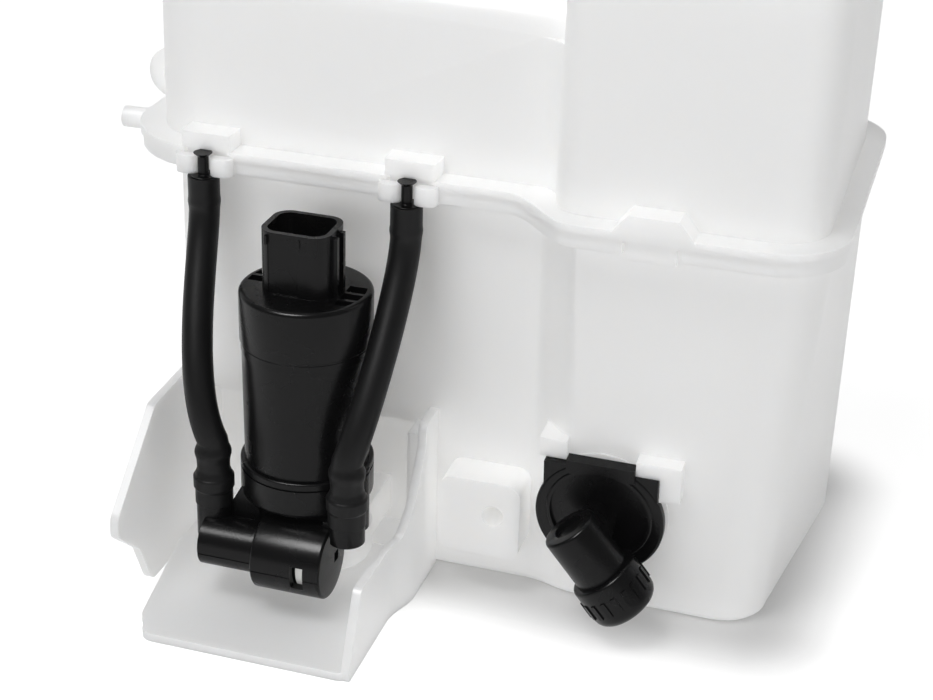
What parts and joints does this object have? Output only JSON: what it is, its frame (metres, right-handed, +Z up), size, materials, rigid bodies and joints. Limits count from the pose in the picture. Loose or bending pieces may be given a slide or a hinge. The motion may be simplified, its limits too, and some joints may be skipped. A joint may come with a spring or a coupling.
{
  "type": "washer fluid reservoir",
  "caption": "Translucent washer fluid tank of two welded shells, with an electric pump in a guarded pocket, hoses clipped to the seam flange and a level sensor in the front wall",
  "frame": {"origin": "middle of the tank foot, on the surface that it stands on", "axes": "+X along the tank to the sensor side, +Y to the back, +Z up"},
  "size_m": [0.2241, 0.1627, 0.2236],
  "materials": {
    "tank_plastic": "translucent milky polypropylene, as moulded",
    "black_plastic": "satin black glass-filled polyamide, as moulded",
    "hose_rubber": "black extruded rubber",
    "seal_rubber": "black moulded rubber",
    "white_plastic": "white acetal, as moulded",
    "motor_steel": "plated steel",
    "magnet": "dark sintered ferrite",
    "copper": "lacquered copper",
    "brass": "plain brass",
    "carbon": "pressed carbon",
    "reed_glass": "clear glass tube"
  },
  "bodies": {
    "tank": {"lower_shell": "tank_plastic", "upper_shell": "tank_plastic", "filler_collar": "black_plastic", "pump_base": "black_plastic", "inlet_grommet": "seal_rubber", "inlet_strainer": "white_plastic", "shaft_seal": "seal_rubber", "pump_housing": "black_plastic", "motor_can": "motor_steel", "field_magnets": "magnet", "lower_bush": "brass", "upper_bush": "brass", "brush_holder": "white_plastic", "brushes": "carbon", "brush_springs": "motor_steel", "pump_terminals": "brass", "pump_cap": "black_plastic", "valve_cover": "black_plastic", "hose_left": "hose_rubber", "hose_right": "hose_rubber", "hose_plug_left": "black_plastic", "hose_plug_right": "black_plastic", "sensor_body": "black_plastic", "sensor_seal": "seal_rubber", "sensor_cap": "black_plastic", "sensor_terminals": "brass", "reed_switch": "reed_glass"},
    "rotor": {"motor_shaft": "motor_steel", "armature_core": "motor_steel", "armature_windings": "copper", "commutator": "copper", "impeller": "white_plastic"},
    "valve": {"valve_shuttle": "white_plastic", "valve_seal": "seal_rubber"},
    "float": {"float_arm": "white_plastic", "float_magnet": "magnet"},
    "cap": {"filler_cap": "black_plastic", "cap_seal": "seal_rubber"}
  },
  "joints": [
    {"name": "rotor_spin", "type": "hinge", "parent": "tank", "child": "rotor", "pos_m": [-0.044, -0.066, 0.06], "axis": [0, 0, 1], "continuous": true},
    {"name": "valve_slide", "type": "slide", "parent": "tank", "child": "valve", "axis": [1, 0, 0], "range_m": [-0.001, 0.001]},
    {"name": "float_swing", "type": "hinge", "parent": "tank", "child": "float", "pos_m": [0.0415, -0.03326, 0.03587], "axis": [1, 0, 0], "range_deg": [0, 70]},
    {"name": "cap_hinge", "type": "hinge", "parent": "tank", "child": "cap", "pos_m": [0.058, 0.033, 0.22], "axis": [-1, 0, 0], "range_deg": [0, 110]}
  ]
}
